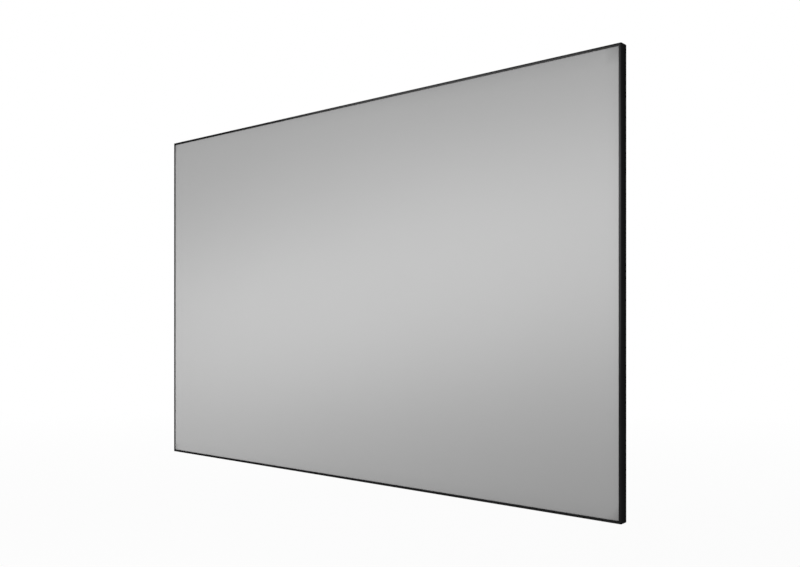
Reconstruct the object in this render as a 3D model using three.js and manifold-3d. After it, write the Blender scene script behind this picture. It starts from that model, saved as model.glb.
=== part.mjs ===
// Fixed frame projector screen.
// A grey screen cloth is stretched over an aluminium frame by rods and springs.
// Thin black trims snap over its edge, and four wall brackets carry it.
// Lengths are in millimetres. X points right, Y towards the wall and Z up.
// The origin is the middle of the whole screen, between its front face and the wall.

import * as THREE from 'three';
import { mergeVertices } from 'three/addons/utils/BufferGeometryUtils.js';
import Module from 'manifold-3d';

const wasm = await Module();
wasm.setup();

// Whole screen: the picture is 100 inches across its diagonal, at 16:9
const pictureWidth = 2214;
const pictureHeight = 1245;
const frameDepth = 27;
const wallGap = 3;

// Fits
const clearance = 0.3;
const screwPlay = 0.3;

// Modelling: how far a cutting shape runs past a face, and how near points weld
const cutPast = 1;
const weldDistance = 1e-3;

// Edge trim, an L-shaped section whose side leans in towards the wall
const bezelWidth = 8;
const trimWall = 1.5;
const trimLean = 2.5;
const trimHook = 4;
const trimFrontRadius = 0.8;
const trimBackRadius = 1.5;
const lipRadius = 0.4;

// Screen cloth, wrapped round the frame to a hem that holds the rods
const clothThickness = 0.6;
const flapInset = 62;
const hemGap = 1.4;
const notchWidth = 12;
const hemSides = 8;

// Rail, one extrusion for all four sides: tube, flange, spring rib, riser and hanger
const tubeWidth = 12;
const tubeWall = 1.6;
const tubeRadius = 1;
const flangeDrop = 5.3;
const railWall = 1.8;
const channelWidth = 32;
const riserHeight = 11;
const hangerReach = 6.2;
const ribWall = 1.5;
const ribHeight = 5.2;
const ribToRiser = 3.5;

// Corner brackets and joiners, which slide into the rail's tube
const cornerArm = 63;
const cornerRadius = 2;
const cornerScrewInset = 45;
const joinerLength = 160;
const joinerScrewInset = 18;
const joinerScrewPitch = 32;
const screwTipCover = 1.5;

// Button screws with a hexagon socket
const screwDiameter = 4;
const headDiameter = 6.5;
const headHeight = 2;
const headRim = 0.7;
const socketAcross = 2.5;
const socketDepth = 1.2;
const roundSides = 10;

// Tension rods and springs
const rodDiameter = 4;
const rodProud = 5;
const springPitch = 180;
const springInset = 100;
const springDiameter = 6;
const springWire = 1.2;
const springLead = 4.2;
const springTail = 1.5;
const hookDrop = 4.5;
const springSides = 6;
const wireSides = 4;
const hookSteps = 5;

// Upright support bars and the clips that carry their ends
const barSpacing = 740;
const barWidth = 25;
const barDepth = 8;
const barWall = 1.5;
const barRadius = 1;
const clipNeck = 4.5;
const clipLip = 2.5;
const plugLength = 24;

// Wall brackets
const bracketSpacing = 1300;
const bracketLength = 120;
const bracketWall = 2;
const bracketPlate = 26;
const bracketRadius = 0.8;
const lipGap = 0.7;
const slotLength = 16;
const slotWidth = 6.5;
const slotSpacing = 70;
const slotInset = 11;

// Whole sizes
const outerWidth = pictureWidth + 2 * bezelWidth;
const outerHeight = pictureHeight + 2 * bezelWidth;
const overallDepth = frameDepth + wallGap;

// Places in the frame's section. "Out" faces the outer edge of the screen and "in" its middle.
// Both are distances in from the outer edge, and front and back are distances from the front face.
const clothOut = trimLean + trimWall + clearance;
const clothFront = trimWall + clearance;
const clothBack = frameDepth - trimWall - clearance;
const tubeOut = clothOut + clothThickness + clearance;
const tubeIn = tubeOut + tubeWidth;
const railFront = clothFront + clothThickness + clearance;
const railBack = clothBack - clothThickness - clearance;
const flangeFront = railFront + flangeDrop;
const flangeBack = flangeFront + railWall;
const riserOut = tubeIn + channelWidth;
const riserIn = riserOut + railWall;
const hangerBack = flangeFront + riserHeight;
const hangerFront = hangerBack - railWall;
const hangerTip = riserIn + hangerReach;
const ribIn = riserOut - ribToRiser;
const ribOut = ribIn - ribWall;
const ribTop = flangeBack + ribHeight;
const insertOut = tubeOut + tubeWall + clearance;
const insertIn = tubeIn - tubeWall - clearance;
const insertFront = railFront + tubeWall + clearance;
const insertBack = railBack - tubeWall - clearance;
const hemBore = rodDiameter / 2 + clearance;
const hemRadius = hemBore + clothThickness;
const rodIn = tubeIn + hemGap + hemRadius;
const rodDepth = clothBack - hemRadius;
const railScrewDepth = (flangeBack + rodDepth - hemRadius) / 2;
const outerJoinerScrew = joinerLength / 2 - joinerScrewInset;
const joinerScrews = [outerJoinerScrew - joinerScrewPitch, outerJoinerScrew];
const barFront = hangerFront - clearance - barDepth;
const barBack = barFront + barDepth;
const clipIn = hangerTip + clearance + clipNeck;
const clipBack = hangerBack + clearance + clipLip;
const shelfOut = hangerTip + clearance;
const bracketIn = shelfOut + bracketPlate;

// Materials
function finish(color, roughness, metalness) {
  return new THREE.MeshStandardMaterial({ color, roughness, metalness });
}

const screenGrey = finish(0xb9b9b9, 0.75, 0);
const blackAnodised = finish(0x1d1d1e, 0.38, 0.6);
const railBlack = finish(0x29292a, 0.5, 0.6);
const castZinc = finish(0x8e9092, 0.5, 0.8);
const zincPlate = finish(0xb4b7ba, 0.35, 0.9);
const springSteel = finish(0xc0c2c4, 0.3, 0.95);
const blackPlastic = finish(0x1a1a1b, 0.55, 0);

// The four sides of the frame. Each is built with X along the side, Y back from the front
// face and Z out, with its origin at the middle of the side's outer edge, and is then turned.
const sides = {
  top: {
    length: outerWidth,
    reach: outerHeight / 2,
    turn: 0,
    cornerName: 'top_left',
    halves: ['left', 'right'],
  },
  right: { length: outerHeight, reach: outerWidth / 2, turn: Math.PI / 2, cornerName: 'top_right' },
  bottom: {
    length: outerWidth,
    reach: outerHeight / 2,
    turn: Math.PI,
    cornerName: 'bottom_right',
    halves: ['right', 'left'],
  },
  left: { length: outerHeight, reach: outerWidth / 2, turn: -Math.PI / 2, cornerName: 'bottom_left' },
};

function sideMatrix({ reach, turn }) {
  const matrix = new THREE.Matrix4().makeRotationY(turn);
  return matrix.setPosition(reach * Math.sin(turn), -overallDepth / 2, reach * Math.cos(turn));
}

// Solid from a closed mesh. Triangles that close up to a line at a pole are left out.
function solidFrom(geometry) {
  const bare = geometry.clone();
  bare.deleteAttribute('normal');
  bare.deleteAttribute('uv');
  const welded = mergeVertices(bare, weldDistance);
  const index = welded.index.array;
  const triangles = [];
  for (let i = 0; i < index.length; i += 3) {
    const corners = [index[i], index[i + 1], index[i + 2]];
    if (new Set(corners).size === corners.length) triangles.push(...corners);
  }
  const vertProperties = Float32Array.from(welded.attributes.position.array);
  const triVerts = Uint32Array.from(triangles);
  return new wasm.Manifold(new wasm.Mesh({ numProp: 3, vertProperties, triVerts }));
}

function geometryFrom(solid) {
  const { vertProperties, triVerts } = solid.getMesh();
  const geometry = new THREE.BufferGeometry();
  geometry.setAttribute('position', new THREE.BufferAttribute(Float32Array.from(vertProperties), 3));
  geometry.setIndex(new THREE.BufferAttribute(Uint32Array.from(triVerts), 1));
  const faceted = geometry.toNonIndexed();
  faceted.computeVertexNormals();
  return faceted;
}

function cut(geometry, tools) {
  const solid = tools.reduce((left, tool) => left.subtract(solidFrom(tool)), solidFrom(geometry));
  return geometryFrom(solid);
}

function join(geometries) {
  const [first, ...rest] = geometries.map(solidFrom);
  return rest.reduce((whole, next) => whole.add(next), first);
}

// Outline through corners [x, y, radius]. A rounded corner takes at most half of its edges.
function trace(path, corners) {
  const points = corners.map(([x, y]) => new THREE.Vector2(x, y));
  corners.forEach(([, , radius = 0], i) => {
    const corner = points[i];
    const toLast = points.at(i - 1).clone().sub(corner);
    const toNext = points[(i + 1) % points.length].clone().sub(corner);
    const reach = Math.min(radius, toLast.length() / 2, toNext.length() / 2);
    const start = corner.clone().add(toLast.setLength(reach));
    const end = corner.clone().add(toNext.setLength(reach));
    if (i === 0) path.moveTo(start.x, start.y);
    else path.lineTo(start.x, start.y);
    if (reach > 0) path.quadraticCurveTo(corner.x, corner.y, end.x, end.y);
  });
  return path;
}

function outline(corners, holes = []) {
  const shape = trace(new THREE.Shape(), corners);
  holes.forEach((hole) => shape.holes.push(trace(new THREE.Path(), hole)));
  return shape;
}

function rectangle(x0, y0, x1, y1, radius = 0) {
  return [
    [x0, y0, radius],
    [x1, y0, radius],
    [x1, y1, radius],
    [x0, y1, radius],
  ];
}

// Section [in from the edge, back from the front] carried along a side. The ends are
// functions of the distance in, so that an end can be square or cut to a mitre.
function sweep(shape, startAt, endAt) {
  const geometry = new THREE.ExtrudeGeometry(shape, { depth: 1, bevelEnabled: false, curveSegments: 4 });
  const position = geometry.attributes.position;
  for (let i = 0; i < position.count; i += 1) {
    const inward = position.getX(i);
    const along = THREE.MathUtils.lerp(startAt(inward), endAt(inward), position.getZ(i));
    position.setXYZ(i, along, position.getY(i), -inward);
  }
  return geometry;
}

function sweepBetween(shape, start, end) {
  return sweep(shape, () => start, () => end);
}

// Outline [along the side, in from the edge] given thickness from front to back
function plate(shape, front, back) {
  const geometry = new THREE.ExtrudeGeometry(shape, {
    depth: back - front,
    bevelEnabled: false,
    curveSegments: 4,
  });
  return geometry.rotateX(-Math.PI / 2).translate(0, front, 0);
}

// Round pin with its axis along the side, at a place in the section
function pinAlong(diameter, length, along, inward, back, pinSides) {
  const geometry = new THREE.CylinderGeometry(diameter / 2, diameter / 2, length, pinSides);
  return geometry.rotateZ(Math.PI / 2).translate(along, back, -inward);
}

// Lengths of rail and trim on a side. Long sides come in two halves, and every corner is mitred.
function spansOf(sideName) {
  const { length, halves } = sides[sideName];
  const mitreSetback = clearance / Math.SQRT2;
  const mitreStart = (inward) => -length / 2 + inward + mitreSetback;
  const mitreEnd = (inward) => length / 2 - inward - mitreSetback;
  if (!halves) return [{ name: sideName, startAt: mitreStart, endAt: mitreEnd }];
  const [first, second] = halves;
  return [
    { name: `${sideName}_${first}`, startAt: mitreStart, endAt: () => -clearance / 2 },
    { name: `${sideName}_${second}`, startAt: () => clearance / 2, endAt: mitreEnd },
  ];
}

function springSpots(length) {
  const run = length - 2 * springInset;
  const gaps = Math.max(1, Math.round(run / springPitch));
  return Array.from({ length: gaps + 1 }, (_, i) => -run / 2 + (run * i) / gaps);
}

function railScrewSpots(sideName) {
  const { length, halves } = sides[sideName];
  const corner = length / 2 - cornerScrewInset;
  const joints = halves ? joinerScrews.flatMap((spot) => [-spot, spot]) : [];
  return { corners: [-corner, corner], joints };
}

// Edge trim
function trimShape() {
  const leanAt = (back) => (trimLean * back) / frameDepth;
  return outline([
    [0, 0, trimFrontRadius],
    [bezelWidth, 0, lipRadius],
    [bezelWidth, trimWall, lipRadius],
    [leanAt(trimWall) + trimWall, trimWall],
    [leanAt(frameDepth - trimWall) + trimWall, frameDepth - trimWall],
    [trimLean + trimWall + trimHook, frameDepth - trimWall, lipRadius],
    [trimLean + trimWall + trimHook, frameDepth, lipRadius],
    [trimLean, frameDepth, trimBackRadius],
  ]);
}

// Rail
function railShape() {
  const tubeHollow = rectangle(
    tubeOut + tubeWall,
    railFront + tubeWall,
    tubeIn - tubeWall,
    railBack - tubeWall,
  );
  const corners = [
    [tubeOut, railFront, tubeRadius],
    [tubeIn, railFront, tubeRadius],
    [tubeIn, flangeFront],
    [riserIn, flangeFront],
    [riserIn, hangerFront],
    [hangerTip, hangerFront],
    [hangerTip, hangerBack],
    [riserOut, hangerBack],
    [riserOut, flangeBack],
    [ribIn, flangeBack],
    [ribIn, ribTop],
    [ribOut, ribTop],
    [ribOut, flangeBack],
    [tubeIn, flangeBack],
    [tubeIn, railBack, tubeRadius],
    [tubeOut, railBack, tubeRadius],
  ];
  return outline(corners, [tubeHollow]);
}

function buildRail(sideName, span) {
  const { corners, joints } = railScrewSpots(sideName);
  const onSpan = (spot) => spot > span.startAt(0) && spot < span.endAt(0);
  const spots = [...corners, ...joints].filter(onSpan);
  const holes = spots.map((spot) => railScrewHole(spot, tubeIn - tubeWall - cutPast));
  return cut(sweep(railShape(), span.startAt, span.endAt), holes);
}

// Hole for a rail screw: it opens inwards and goes out to the distance given
function railScrewHole(along, bottom) {
  const radius = screwDiameter / 2 + screwPlay;
  const mouth = tubeIn + cutPast;
  const hole = new THREE.CylinderGeometry(radius, radius, mouth - bottom, roundSides);
  return hole.rotateX(Math.PI / 2).translate(along, railScrewDepth, -(bottom + mouth) / 2);
}

// Button screw that stands on its tip: its axis is Y, and Y = 0 is under its head
function buildScrew(shankLength) {
  const profile = [
    [0, -shankLength],
    [screwDiameter / 2, -shankLength],
    [screwDiameter / 2, 0],
    [headDiameter / 2, 0],
    [headDiameter / 2, headRim],
    [headDiameter / 3, headHeight],
    [0, headHeight],
  ].map(([x, y]) => new THREE.Vector2(x, y));
  const body = new THREE.LatheGeometry(profile, roundSides);
  const socketRadius = socketAcross / Math.sqrt(3);
  const socket = new THREE.CylinderGeometry(socketRadius, socketRadius, 2 * socketDepth, 6);
  return cut(body, [socket.translate(0, headHeight, 0)]);
}

// Screw through the inner wall of a rail's tube into the bracket or joiner inside
function buildRailScrew(along) {
  const seat = tubeIn + clearance;
  const tip = insertOut + screwTipCover + clearance;
  return buildScrew(seat - tip).rotateX(-Math.PI / 2).translate(along, railScrewDepth, -seat);
}

// Corner bracket: two arms, one in each rail that meets at the corner
function buildCornerBracket(side) {
  const start = -side.length / 2;
  const outer = insertOut;
  const inner = insertIn;
  const armEnd = insertOut + cornerArm;
  const shape = outline([
    [outer, outer, cornerRadius],
    [armEnd, outer, cornerRadius],
    [armEnd, inner, cornerRadius],
    [inner, inner],
    [inner, armEnd, cornerRadius],
    [outer, armEnd, cornerRadius],
  ]);
  const body = plate(shape, insertFront, insertBack);
  const holeBottom = insertOut + screwTipCover;
  const hole = railScrewHole(cornerScrewInset, holeBottom);
  const otherHole = pinAlong(
    screwDiameter + 2 * screwPlay,
    tubeIn + cutPast - holeBottom,
    (holeBottom + tubeIn + cutPast) / 2,
    cornerScrewInset,
    railScrewDepth,
    roundSides,
  );
  return cut(body, [hole, otherHole]).translate(start, 0, 0);
}

// Joiner: a bar inside the two halves of a long side
function buildJoiner() {
  const shape = outline(rectangle(insertOut, insertFront, insertIn, insertBack, cornerRadius / 2));
  const body = sweepBetween(shape, -joinerLength / 2, joinerLength / 2);
  const spots = joinerScrews.flatMap((spot) => [-spot, spot]);
  return cut(body, spots.map((spot) => railScrewHole(spot, insertOut + screwTipCover)));
}

// Screen cloth: the front sheet, its folded sides, and back flaps that end in a hem round each rod
function buildCloth() {
  const sheetWidth = outerWidth - 2 * clothOut;
  const sheetHeight = outerHeight - 2 * clothOut;
  const sheet = new THREE.BoxGeometry(sheetWidth, clothThickness, sheetHeight);
  sheet.translate(0, clothFront + clothThickness / 2 - overallDepth / 2, 0);
  let cloth = solidFrom(sheet);
  for (const side of Object.values(sides)) {
    const matrix = sideMatrix(side);
    const placed = (geometry) => solidFrom(geometry.applyMatrix4(matrix));
    const fold = outline(rectangle(clothOut, clothFront, clothOut + clothThickness, clothBack));
    const foldEnd = side.length / 2 - clothOut;
    const flap = outline(rectangle(clothOut, clothBack - clothThickness, rodIn, clothBack));
    const flapEnd = side.length / 2 - flapInset;
    const hem = pinAlong(2 * hemRadius, 2 * flapEnd, 0, rodIn, rodDepth, hemSides);
    const bore = pinAlong(2 * hemBore, 2 * (flapEnd + cutPast), 0, rodIn, rodDepth, hemSides);
    cloth = cloth
      .add(placed(sweepBetween(fold, -foldEnd, foldEnd)))
      .add(placed(sweepBetween(flap, -flapEnd, flapEnd)))
      .add(placed(hem))
      .subtract(placed(bore));
    const notchLow = rodIn - hemRadius - clearance;
    const notchHigh = rodIn + hemRadius + clearance;
    const notch = outline(rectangle(notchLow, rodDepth - hemRadius - clearance, notchHigh, frameDepth));
    for (const spot of springSpots(side.length)) {
      cloth = cloth.subtract(placed(sweepBetween(notch, spot - notchWidth / 2, spot + notchWidth / 2)));
    }
  }
  return geometryFrom(cloth);
}

// Spring: a coil body with one hook round the rod and one over the rail's rib
function springPieces(along) {
  const hookTop = ribTop + clearance + springWire / 2;
  const hookIn = ribIn + clearance + springWire / 2;
  const rodEnd = new THREE.Vector2(rodIn, rodDepth);
  const ribEnd = new THREE.Vector2(ribOut - springWire, hookTop);
  const line = ribEnd.clone().sub(rodEnd);
  const bodyLength = line.length() - springLead - springTail;
  const bodyMiddle = rodEnd.clone().add(line.clone().setLength(springLead + bodyLength / 2));
  const leadMiddle = rodEnd.clone().add(line.clone().setLength(springLead / 2 + springWire / 2));
  const tilt = Math.atan2(line.y, line.x);
  const rodLike = (diameter, length, middle, pinSides) => {
    const geometry = new THREE.CylinderGeometry(diameter / 2, diameter / 2, length, pinSides);
    return geometry.rotateX(Math.PI / 2 + tilt).translate(along, middle.y, -middle.x);
  };
  const body = rodLike(springDiameter, bodyLength, bodyMiddle, springSides);
  const lead = rodLike(springWire, springLead + springWire, leadMiddle, wireSides);
  const tail = rodEnd.clone().add(line.clone().setLength(springLead + bodyLength - springWire));
  const route = new THREE.CatmullRomCurve3([
    new THREE.Vector3(along, tail.y, -tail.x),
    new THREE.Vector3(along, ribEnd.y, -ribEnd.x),
    new THREE.Vector3(along, hookTop, -(hookIn - springWire / 2)),
    new THREE.Vector3(along, hookTop - hookDrop / 2, -hookIn),
    new THREE.Vector3(along, hookTop - hookDrop, -hookIn),
  ]);
  const wire = new THREE.Shape().absarc(0, 0, springWire / 2, 0, 2 * Math.PI);
  const hook = new THREE.ExtrudeGeometry(wire, {
    steps: hookSteps,
    curveSegments: wireSides / 2,
    extrudePath: route,
  });
  return [body, lead, hook];
}

function buildTensionRod(side) {
  const rodLength = side.length - 2 * (flapInset - rodProud);
  const rod = pinAlong(rodDiameter, rodLength, 0, rodIn, rodDepth, springSides);
  return geometryFrom(join([rod, ...springSpots(side.length).flatMap(springPieces)]));
}

// Support bar: a flat tube that stands behind the cloth
function buildSupportBar() {
  const half = barWidth / 2;
  const hollow = rectangle(-half + barWall, barFront + barWall, half - barWall, barBack - barWall);
  const shape = outline(rectangle(-half, barFront, half, barBack, barRadius), [hollow]);
  const length = outerHeight - 2 * (clipIn + clearance);
  const options = { depth: length, bevelEnabled: false, curveSegments: 3 };
  return new THREE.ExtrudeGeometry(shape, options).translate(0, 0, -length / 2);
}

// Bar clip: a plug for the bar's end, with a slot that grips the rail's hanger edge
function clipScrewIn() {
  return (riserIn + shelfOut) / 2;
}

function buildBarClip(along) {
  const seat = riserIn + clearance;
  const grip = outline([
    [seat, barFront],
    [clipIn, barFront],
    [clipIn, clipBack],
    [seat, clipBack],
    [seat, hangerBack + clearance],
    [shelfOut, hangerBack + clearance],
    [shelfOut, barBack],
    [seat, barBack],
  ]);
  const body = sweepBetween(grip, along - barWidth / 2, along + barWidth / 2);
  const slack = barWall + clearance;
  const root = clipIn - clipNeck / 2;
  const tongue = outline(rectangle(root, barFront + slack, clipIn + plugLength, barBack - slack));
  const plug = sweepBetween(tongue, along - barWidth / 2 + slack, along + barWidth / 2 - slack);
  const radius = screwDiameter / 2 + screwPlay;
  const hole = new THREE.CylinderGeometry(radius, radius, 2 * clipLip, roundSides);
  hole.translate(along, clipBack, -clipScrewIn());
  return geometryFrom(join([body, plug]).subtract(solidFrom(hole)));
}

// Screw that locks a clip: its tip presses on the hanger edge
function buildClipScrew(along) {
  return buildScrew(clipLip).translate(along, clipBack + clearance, -clipScrewIn());
}

// Wall bracket: a screwed plate, a shelf under the hanger edge and a lip in front of it
function buildWallBracket(middle) {
  const lipBack = hangerFront - clearance;
  const shape = outline([
    [shelfOut, lipBack],
    [riserIn + lipGap, lipBack],
    [riserIn + lipGap, lipBack - bracketWall],
    [shelfOut + bracketWall, lipBack - bracketWall, bracketRadius],
    [shelfOut + bracketWall, overallDepth - bracketWall],
    [bracketIn, overallDepth - bracketWall],
    [bracketIn, overallDepth],
    [shelfOut, overallDepth, bracketRadius],
  ]);
  const body = sweepBetween(shape, middle - bracketLength / 2, middle + bracketLength / 2);
  const slotIn = bracketIn - slotInset;
  const half = slotLength / 2;
  const slots = [-slotSpacing / 2, slotSpacing / 2].map((offset) => {
    const at = middle + offset;
    const wide = slotWidth / 2;
    const slot = rectangle(at - half, slotIn - wide, at + half, slotIn + wide, wide);
    return plate(outline(slot), overallDepth - bracketWall - cutPast, overallDepth + cutPast);
  });
  return cut(body, slots);
}

const screen = new THREE.Group();

function addPiece(parent, name, geometry, material) {
  const mesh = new THREE.Mesh(geometry, material);
  mesh.name = name;
  parent.add(mesh);
}

addPiece(screen, 'screen_cloth', buildCloth(), screenGrey);

for (const [sideName, side] of Object.entries(sides)) {
  const group = new THREE.Group();
  group.applyMatrix4(sideMatrix(side));
  screen.add(group);
  for (const span of spansOf(sideName)) {
    addPiece(group, `trim_${span.name}`, sweep(trimShape(), span.startAt, span.endAt), blackAnodised);
    addPiece(group, `rail_${span.name}`, buildRail(sideName, span), railBlack);
  }
  addPiece(group, `corner_bracket_${side.cornerName}`, buildCornerBracket(side), castZinc);
  addPiece(group, `tension_rod_${sideName}`, buildTensionRod(side), springSteel);
  const screws = railScrewSpots(sideName);
  screws.corners.forEach((spot, i) => {
    addPiece(group, `corner_screw_${sideName}_${i + 1}`, buildRailScrew(spot), zincPlate);
  });
  if (!side.halves) continue;
  addPiece(group, `joiner_${sideName}`, buildJoiner(), castZinc);
  screws.joints.forEach((spot, i) => {
    addPiece(group, `joiner_screw_${sideName}_${i + 1}`, buildRailScrew(spot), zincPlate);
  });
  side.halves.forEach((half, i) => {
    const hand = 2 * i - 1;
    const barAt = (hand * barSpacing) / 2;
    const bracketAt = (hand * bracketSpacing) / 2;
    addPiece(group, `bar_clip_${sideName}_${half}`, buildBarClip(barAt), blackPlastic);
    addPiece(group, `clip_screw_${sideName}_${half}`, buildClipScrew(barAt), zincPlate);
    addPiece(group, `wall_bracket_${sideName}_${half}`, buildWallBracket(bracketAt), zincPlate);
  });
}

for (const [name, hand] of [['left', -1], ['right', 1]]) {
  const bar = new THREE.Group();
  bar.position.set((hand * barSpacing) / 2, -overallDepth / 2, 0);
  screen.add(bar);
  addPiece(bar, `support_bar_${name}`, buildSupportBar(), railBlack);
}

export default screen;
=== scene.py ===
import math

import bmesh
import bpy
import numpy as np
from mathutils import Euler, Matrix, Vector


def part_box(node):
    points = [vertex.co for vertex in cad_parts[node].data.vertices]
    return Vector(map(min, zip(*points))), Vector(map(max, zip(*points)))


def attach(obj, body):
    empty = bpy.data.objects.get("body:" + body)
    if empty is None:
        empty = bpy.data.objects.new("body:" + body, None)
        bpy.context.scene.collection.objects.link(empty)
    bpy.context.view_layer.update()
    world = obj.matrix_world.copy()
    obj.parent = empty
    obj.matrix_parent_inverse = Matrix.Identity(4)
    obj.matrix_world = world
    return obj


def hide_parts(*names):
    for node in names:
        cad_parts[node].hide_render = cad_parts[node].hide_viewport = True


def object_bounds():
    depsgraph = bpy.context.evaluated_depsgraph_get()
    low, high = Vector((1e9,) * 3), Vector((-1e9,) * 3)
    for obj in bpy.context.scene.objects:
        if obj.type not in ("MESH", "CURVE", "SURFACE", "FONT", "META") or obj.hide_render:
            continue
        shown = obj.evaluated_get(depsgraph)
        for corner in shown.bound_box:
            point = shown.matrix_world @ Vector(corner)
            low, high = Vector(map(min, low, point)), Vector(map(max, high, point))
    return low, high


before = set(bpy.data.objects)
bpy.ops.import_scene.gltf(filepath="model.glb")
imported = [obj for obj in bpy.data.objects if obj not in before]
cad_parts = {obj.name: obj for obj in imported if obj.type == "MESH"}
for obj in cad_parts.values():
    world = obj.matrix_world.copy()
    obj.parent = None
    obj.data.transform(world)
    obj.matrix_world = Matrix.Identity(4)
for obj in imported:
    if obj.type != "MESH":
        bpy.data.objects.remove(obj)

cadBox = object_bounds()
print("frame loaded:", len(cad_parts), "nodes")

# Lengths are millimetres in this script. A mesh is turned into metres when it is made.
mm = 0.001

# Whole screen
screen = {
    "pictureWidth": 2214,
    "pictureHeight": 1245,
    "bezelWidth": 8,
    "frameDepth": 27,
    "wallGap": 3,
    "clearance": 0.3,
}
outerWidth = screen["pictureWidth"] + 2 * screen["bezelWidth"]
outerHeight = screen["pictureHeight"] + 2 * screen["bezelWidth"]
overallDepth = screen["frameDepth"] + screen["wallGap"]
clearance = screen["clearance"]

# Section through one side, which the trims, cloth, rods, springs and screws share
section = {
    "trimWall": 1.5,
    "trimLean": 2.5,
    "clothThickness": 0.6,
    "rodDiameter": 4,
    "hemGap": 1.4,
    "tubeWidth": 12,
    "flangeDrop": 5.3,
    "railWall": 1.8,
    "channelWidth": 32,
    "riserHeight": 11,
    "hangerReach": 6.2,
    "ribWall": 1.5,
    "ribHeight": 5.2,
    "ribToRiser": 3.5,
    "clipLip": 2.5,
}

# Places in the section. "Out" and "In" are distances inward from the side's outer edge,
# and front and back are distances from the front face.
clothOut = section["trimLean"] + section["trimWall"] + clearance
clothFront = section["trimWall"] + clearance
clothBack = screen["frameDepth"] - section["trimWall"] - clearance
clothAndGap = section["clothThickness"] + clearance
tubeIn = clothOut + clothAndGap + section["tubeWidth"]
flangeFront = clothFront + clothAndGap + section["flangeDrop"]
flangeBack = flangeFront + section["railWall"]
hemOuter = section["rodDiameter"] / 2 + clothAndGap
rodIn = tubeIn + section["hemGap"] + hemOuter
rodBack = clothBack - hemOuter
notchIn = rodIn - hemOuter - clearance
ribIn = tubeIn + section["channelWidth"] - section["ribToRiser"]
ribOut = ribIn - section["ribWall"]
ribTop = flangeBack + section["ribHeight"]
riserIn = tubeIn + section["channelWidth"] + section["railWall"]
shelfOut = riserIn + section["hangerReach"] + clearance
clipBack = flangeFront + section["riserHeight"] + clearance + section["clipLip"]

# The four sides, each turned about the screen's middle from the top one
sides = {
    "top": {"length": outerWidth, "reach": outerHeight / 2, "turn": 0},
    "right": {"length": outerHeight, "reach": outerWidth / 2, "turn": math.pi / 2},
    "bottom": {"length": outerWidth, "reach": outerHeight / 2, "turn": math.pi},
    "left": {"length": outerHeight, "reach": outerWidth / 2, "turn": -math.pi / 2},
}


# Camera

camera = {
    "place": (2.86454, -2.39527, -0.10056),
    "turnDegrees": 47.5951,
    "lens": 49.886,
    "sensorWidth": 36,
    "riseShift": 0.047946,
}


def makeCamera():
    data = bpy.data.cameras.new("camera")
    data.lens = camera["lens"]
    data.sensor_width = camera["sensorWidth"]
    data.shift_y = camera["riseShift"]
    body = bpy.data.objects.new("camera", data)
    body.location = camera["place"]
    body.rotation_euler = (math.pi / 2, 0, math.radians(camera["turnDegrees"]))
    bpy.context.scene.collection.objects.link(body)
    bpy.context.scene.camera = body


makeCamera()
print("camera placed")


# Shader maths: a signal is one socket, and sums on signals add their own Math nodes

class Signal:
    def __init__(self, finish, socket):
        self.finish = finish
        self.socket = socket

    def __add__(self, other):
        return self.finish.maths("ADD", self, other)

    def __radd__(self, other):
        return self.finish.maths("ADD", other, self)

    def __sub__(self, other):
        return self.finish.maths("SUBTRACT", self, other)

    def __rsub__(self, other):
        return self.finish.maths("SUBTRACT", other, self)

    def __mul__(self, other):
        return self.finish.maths("MULTIPLY", self, other)

    def __rmul__(self, other):
        return self.finish.maths("MULTIPLY", other, self)


# A finish is the node tree of a material or of the world
class Finish:
    def __init__(self, owner):
        owner.use_nodes = True
        self.owner = owner
        self.tree = owner.node_tree
        self.tree.nodes.clear()

    # One node: its settings go first, then the values or signals of its sockets
    def node(self, kind, settings=None, sockets=None, output=0):
        made = self.tree.nodes.new(kind)
        for key, value in (settings or {}).items():
            setattr(made, key, value)
        for key, value in (sockets or {}).items():
            self.feed(made.inputs[key], value)
        return Signal(self, made.outputs[output]) if made.outputs else made

    def feed(self, socket, value):
        if isinstance(value, Signal):
            self.tree.links.new(value.socket, socket)
        else:
            socket.default_value = value

    def maths(self, operation, *values):
        return self.node("ShaderNodeMath", {"operation": operation}, dict(enumerate(values)))

    def noise(self, where, scale, detail=2, roughness=0.5):
        sockets = {"Vector": where, "Scale": scale, "Detail": detail, "Roughness": roughness}
        return self.node("ShaderNodeTexNoise", {}, sockets)

    def wave(self, where, scale, direction):
        settings = {"wave_type": "BANDS", "bands_direction": direction}
        return self.node("ShaderNodeTexWave", settings, {"Vector": where, "Scale": scale}, output=1)

    # Object coordinates in metres, drawn out by a factor on each axis
    def place(self, stretch=(1, 1, 1)):
        coordinates = self.node("ShaderNodeTexCoord", {}, {}, output=3)
        return self.node("ShaderNodeMapping", {}, {"Vector": coordinates, "Scale": stretch})

    # Object coordinates drawn out along one axis, for lines and fibres
    def lengthwise(self, axis, drawnOut):
        stretch = [1, 1, 1]
        stretch["XYZ".index(axis)] = drawnOut
        return self.place(tuple(stretch))

    # Colour that moves between two tones with a signal from 0 to 1
    def tone(self, signal, dark, light):
        return self.mix(signal, (*dark, 1), (*light, 1))

    def mix(self, share, first, second):
        sockets = {0: share, 6: first, 7: second}
        return self.node("ShaderNodeMix", {"data_type": "RGBA"}, sockets, output=2)

    # Goes smoothly from 0 to 1 while a signal goes from one value to another
    def rise(self, signal, start, end):
        settings = {"interpolation_type": "SMOOTHSTEP"}
        return self.node("ShaderNodeMapRange", settings, {0: signal, 1: start, 2: end})

    # Bump whose relief is in millimetres
    def bump(self, height, strength, relief):
        sockets = {"Height": height, "Strength": strength, "Distance": relief * mm}
        return self.node("ShaderNodeBump", {}, sockets)

    def close(self, sockets):
        surface = self.node("ShaderNodeBsdfPrincipled", {}, sockets)
        self.node("ShaderNodeOutputMaterial", {}, {"Surface": surface})
        return self.owner


def newFinish(name):
    return Finish(bpy.data.materials.new(name))


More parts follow.
